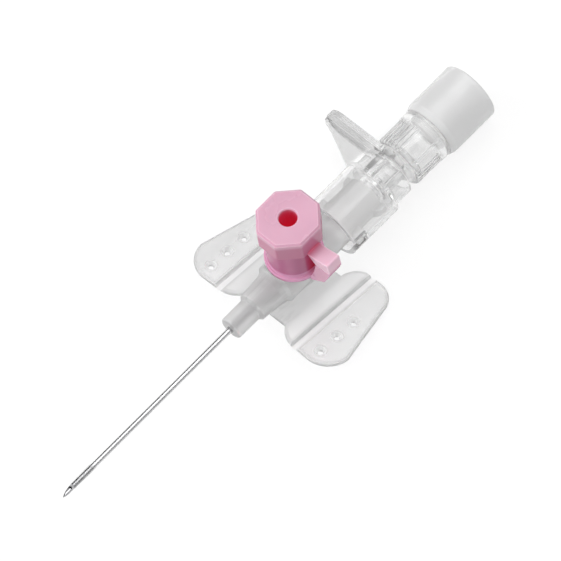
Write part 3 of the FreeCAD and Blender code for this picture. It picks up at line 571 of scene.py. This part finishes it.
inner = times(hub, *(step(hub, aside, *end) for end in INNER))
for mask, roughness in ((turned, 0.55), (band(hub, aside, FOLD, FLOOR_WITH_SIDES), 0.60),
                        (inner, 0.45)):
    roughen(hub, mask, roughness)
print("hub nodes:", len(hub.node_tree.nodes))

# %% [markdown]
# ## The clear catheter tube
# The catheter is a thin tube of clear, slippery plastic, drawn tight over the needle. It has
# hardly any look of its own, and only its tapered tip, where the wall gets thin and turns in,
# is painted greyer, as painted shade.

# %% Clear catheter tube
tube = plastic("tube_clear", (0.99, 0.99, 0.99), (0.97, 0.97, 0.97), 0.01, 0.02, bump=0.0,
               Transmission_Weight=1.0, IOR=1.30)
TIP = 36.4, 37.4          # mm along X, where the tapered tip and its painted shade start
shade(tube, (step(tube, along(tube, "X"), *TIP), 0.78))
dress("catheter_tube", tube)

# %% [markdown]
# ## The clear needle hub
# The needle's hub is a hard clear plastic. Plain glass would show black cracks wherever light
# is caught between its faces, but a moulding like this has a touch of haze that fills them.
# A small share of the matt plastic under the glass does that.

# %% Clear needle hub
clear = plastic("clear_plastic", (0.99, 0.99, 0.99), (0.97, 0.97, 0.97), 0.04, 0.08,
                Transmission_Weight=0.82, IOR=1.50)
length, across = along(clear, "X"), along(clear, "Y")
dress("needle_hub", clear)

# %% [markdown]
# ### Its chamber, grip and rims
# The flash chamber has fine flutes, and on the grip plate's side they are painted grey, with
# grey streaks, as painted shade. The grip plate and its web are solid and seen nearly edge on,
# so they are painted greyer than the thin round walls, as painted shade. Rims are where light
# that runs inside the walls gets out: they are drawn in grey, as painted shade, and given a
# painted glow with emission. The two ends are only a ring of plastic and are painted paler, as
# painted light, with a painted glow too.

# %% Shade the clear hub
CHAMBER = -29.6, 5.5      # mm along X, the chamber's middle and half its length
FLUTE_SHADE_SIDE = -0.2, -1.6       # mm across, where the painted shade on the fluted side starts
GRIP = -4.6, -5.6         # mm across, where the grip plate and its web start
WEB = -25.9, -25.4        # mm along X, from the plate to the web
MOUTH = -14.0, -13.3      # mm along X, the sleeve's open end
REAR = -33.6, 1.7         # mm along X, the plug's front edge and how far from it the end reaches
RIM_WIDTH = 0.4           # mm

# painted shade on the fluted side, the grip, its web and the rims; painted light on the two ends
flute_shade = times(clear, band(clear, length, *CHAMBER), step(clear, across, *FLUTE_SHADE_SIDE))
grip = step(clear, across, *GRIP)
rims = edge_of(clear, RIM_WIDTH)
ends = either(clear, step(clear, length, *MOUTH), band(clear, length, *REAR))
shade(clear, (flute_shade, 0.87),
      (times(clear, flute_shade, streaks(clear, 0.45, 20.0)), 0.70),
      (grip, 0.68),
      (times(clear, grip, step(clear, length, *WEB)), 0.65),
      (rims, 0.80),
      (times(clear, rims, grip), 0.50),
      (ends, 0.92))
roughen(clear, rims, 0.30)
roughen(clear, ends, 0.18)
shining = either(clear, times(clear, rims, rims, 0.8), times(clear, ends, ends, 0.35))
light_up(clear, shining, 0.20)

# %% [markdown]
# ## The plug and the valve
# The vent plug is a white plastic that still lets some light in, under a smooth skin. Coat is
# that skin: a second, glossy layer over a dull one. The valve inside the port is soft silicone.

# %% White vent plug
dress("vent_plug", plastic("plug_white", (0.91, 0.91, 0.91), (0.89, 0.89, 0.89),
                           0.45, 0.55, bump=0.03, Transmission_Weight=0.50,
                           Coat_Weight=0.7, Coat_Roughness=0.10, IOR=1.49))

# %% Silicone valve
dress("port_valve", plastic("valve_silicone", (0.70, 0.70, 0.68), (0.62, 0.62, 0.60),
                            0.45, 0.6, bump=0.1))

# %% [markdown]
# ## The pink collar and cap
# The cap and its collar are a soft pink plastic. Light that gets out of a hollow or a gap has
# passed through more of it, so the hole in the lid and the gap under the head glow deep red,
# while the open faces stay pale. Simulated scattering would need far more samples to show it,
# so the deep red is painted in: painted shade in the base colour and a painted glow with
# emission. The ambient occlusion node measures how closed-in a point is, and a mix between the
# open and the hollow colour gives the same look on any face.

# %% A helper for red hollows
def paint_hollow_shade(material, hollow, reach, open_at, through, shut_at=0.1):
    """Paints shade into a plastic, turning it towards its hollow colour, with a painted glow for
    light coming through its walls, where other faces stand within this many mm around it."""
    tree = material.node_tree
    shader = tree.nodes["Principled BSDF"]
    shut = tree.nodes.new("ShaderNodeAmbientOcclusion")
    shut.inputs["Distance"].default_value = reach / 1000
    shut.samples = 8
    closed = ramp(tree, shut.outputs["AO"], open_at, shut_at)
    glow = tree.nodes.new("ShaderNodeMix")
    glow.data_type = "RGBA"
    glow.inputs["A"].default_value = (0, 0, 0, 1)
    glow.inputs["B"].default_value = (*hollow, 1)
    tree.links.new(closed.outputs[0], glow.inputs["Factor"])
    tree.links.new(glow.outputs["Result"], shader.inputs["Emission Color"])
    shader.inputs["Emission Strength"].default_value = through
    lay(material, closed.outputs[0], hollow)


# %% [markdown]
# ### The cap
# The lid's top is a thin pale disc, and below it the head is a solid wall, painted a deeper pink
# partly for its thickness and partly as painted shade on its sides. The tab is thin again, and
# is painted pale as a painted highlight. A painted highlight runs round the lid's edge and along
# the tab's, but not round the head's lower rim.

# %% Dress the cap
HEAD_TOP = 20.5, 19.5     # mm up, from the pale lid to the deeper wall with its painted shade
LID_LINE = 18.4, 19.4     # mm up, above which edges have their painted highlight
TAB = 4.2, 6.4            # mm across, where the tab and its painted highlight leave the head
SOFT = 0.0010             # m, how far red light spreads in the pink plastic

pink = dict(Subsurface_Weight=0.3, Subsurface_Radius=(1.0, 0.35, 0.45),
            Subsurface_Scale=SOFT, IOR=1.5)
cap = plastic("cap_pink", (0.57, 0.305, 0.41), (0.55, 0.29, 0.395), 0.20, 0.28, **pink)
height = along(cap, "Z")
# painted shade on the head's wall, painted shade and glow in hollows, painted highlights on tab
# and edges
lay(cap, step(cap, height, *HEAD_TOP), (0.43, 0.135, 0.235))
paint_hollow_shade(cap, (0.75, 0.02, 0.07), reach=3.2, open_at=0.65, through=0.16)
tab = step(cap, along(cap, "Y"), *TAB)
lay(cap, tab, (0.69, 0.44, 0.54))
lay(cap, times(cap, edge_of(cap, 0.42), either(cap, tab, step(cap, height, *LID_LINE))),
    (0.82, 0.60, 0.70))
dress("port_cap", cap)

# %% [markdown]
# ### The collar
# The collar's wall lies close round the port tube under the cap's head and is the deepest pink,
# the whole collar painted deeper than the cap as painted shade. Its foot ring and its strap
# stand free and are painted paler, as painted light, and its edges carry a painted highlight.

# %% Dress the collar
FOOT_RING = 2.2, 1.7      # mm up from the collar's lowest point, down into the ring, painted paler as painted light
STRAP = 4.6, 5.6          # mm across, where the strap leaves the collar, painted paler as painted light

collar = plastic("collar_pink", (0.42, 0.115, 0.235), (0.39, 0.10, 0.215), 0.18, 0.26, **pink)
paint_hollow_shade(collar, (0.50, 0.01, 0.04), reach=4.0, open_at=0.7, through=0.1)
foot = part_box("port_collar")[0][2] * 1000
# painted light on the foot ring and the strap, and a painted highlight on the edges
lay(collar, step(collar, along(collar, "Z"), *(foot + up for up in FOOT_RING)),
    (0.62, 0.30, 0.46))
lay(collar, step(collar, along(collar, "Y"), *STRAP), (0.58, 0.30, 0.41))
lay(collar, edge_of(collar, 0.3), (0.66, 0.36, 0.50))
dress("port_collar", collar)
print("collar's foot at", round(foot, 2), "mm")

# %% [markdown]
# ## The filter and the steel
# The filter is a disc of pressed fibres: very rough, with a coarse grain. The needle is drawn
# steel tube. Polished too well, it would be black and white lines only, so it is a little dull,
# and it has no bump, because on a thing this thin any bump breaks its lines into dashes. The
# wedge ring in the nose is the same steel.

# %% Filter paper
dress("vent_filter", plastic("filter_paper", (0.85, 0.85, 0.83), (0.75, 0.75, 0.73),
                             0.8, 0.95, grain_scale=4000.0, bump=0.5))

# %% Steel
steel = plastic("needle_steel", (0.50, 0.50, 0.51), (0.47, 0.47, 0.48), 0.21, 0.25, bump=0.0,
                Metallic=1.0)
dress("needle", steel)
dress("catheter_ferrule", steel)
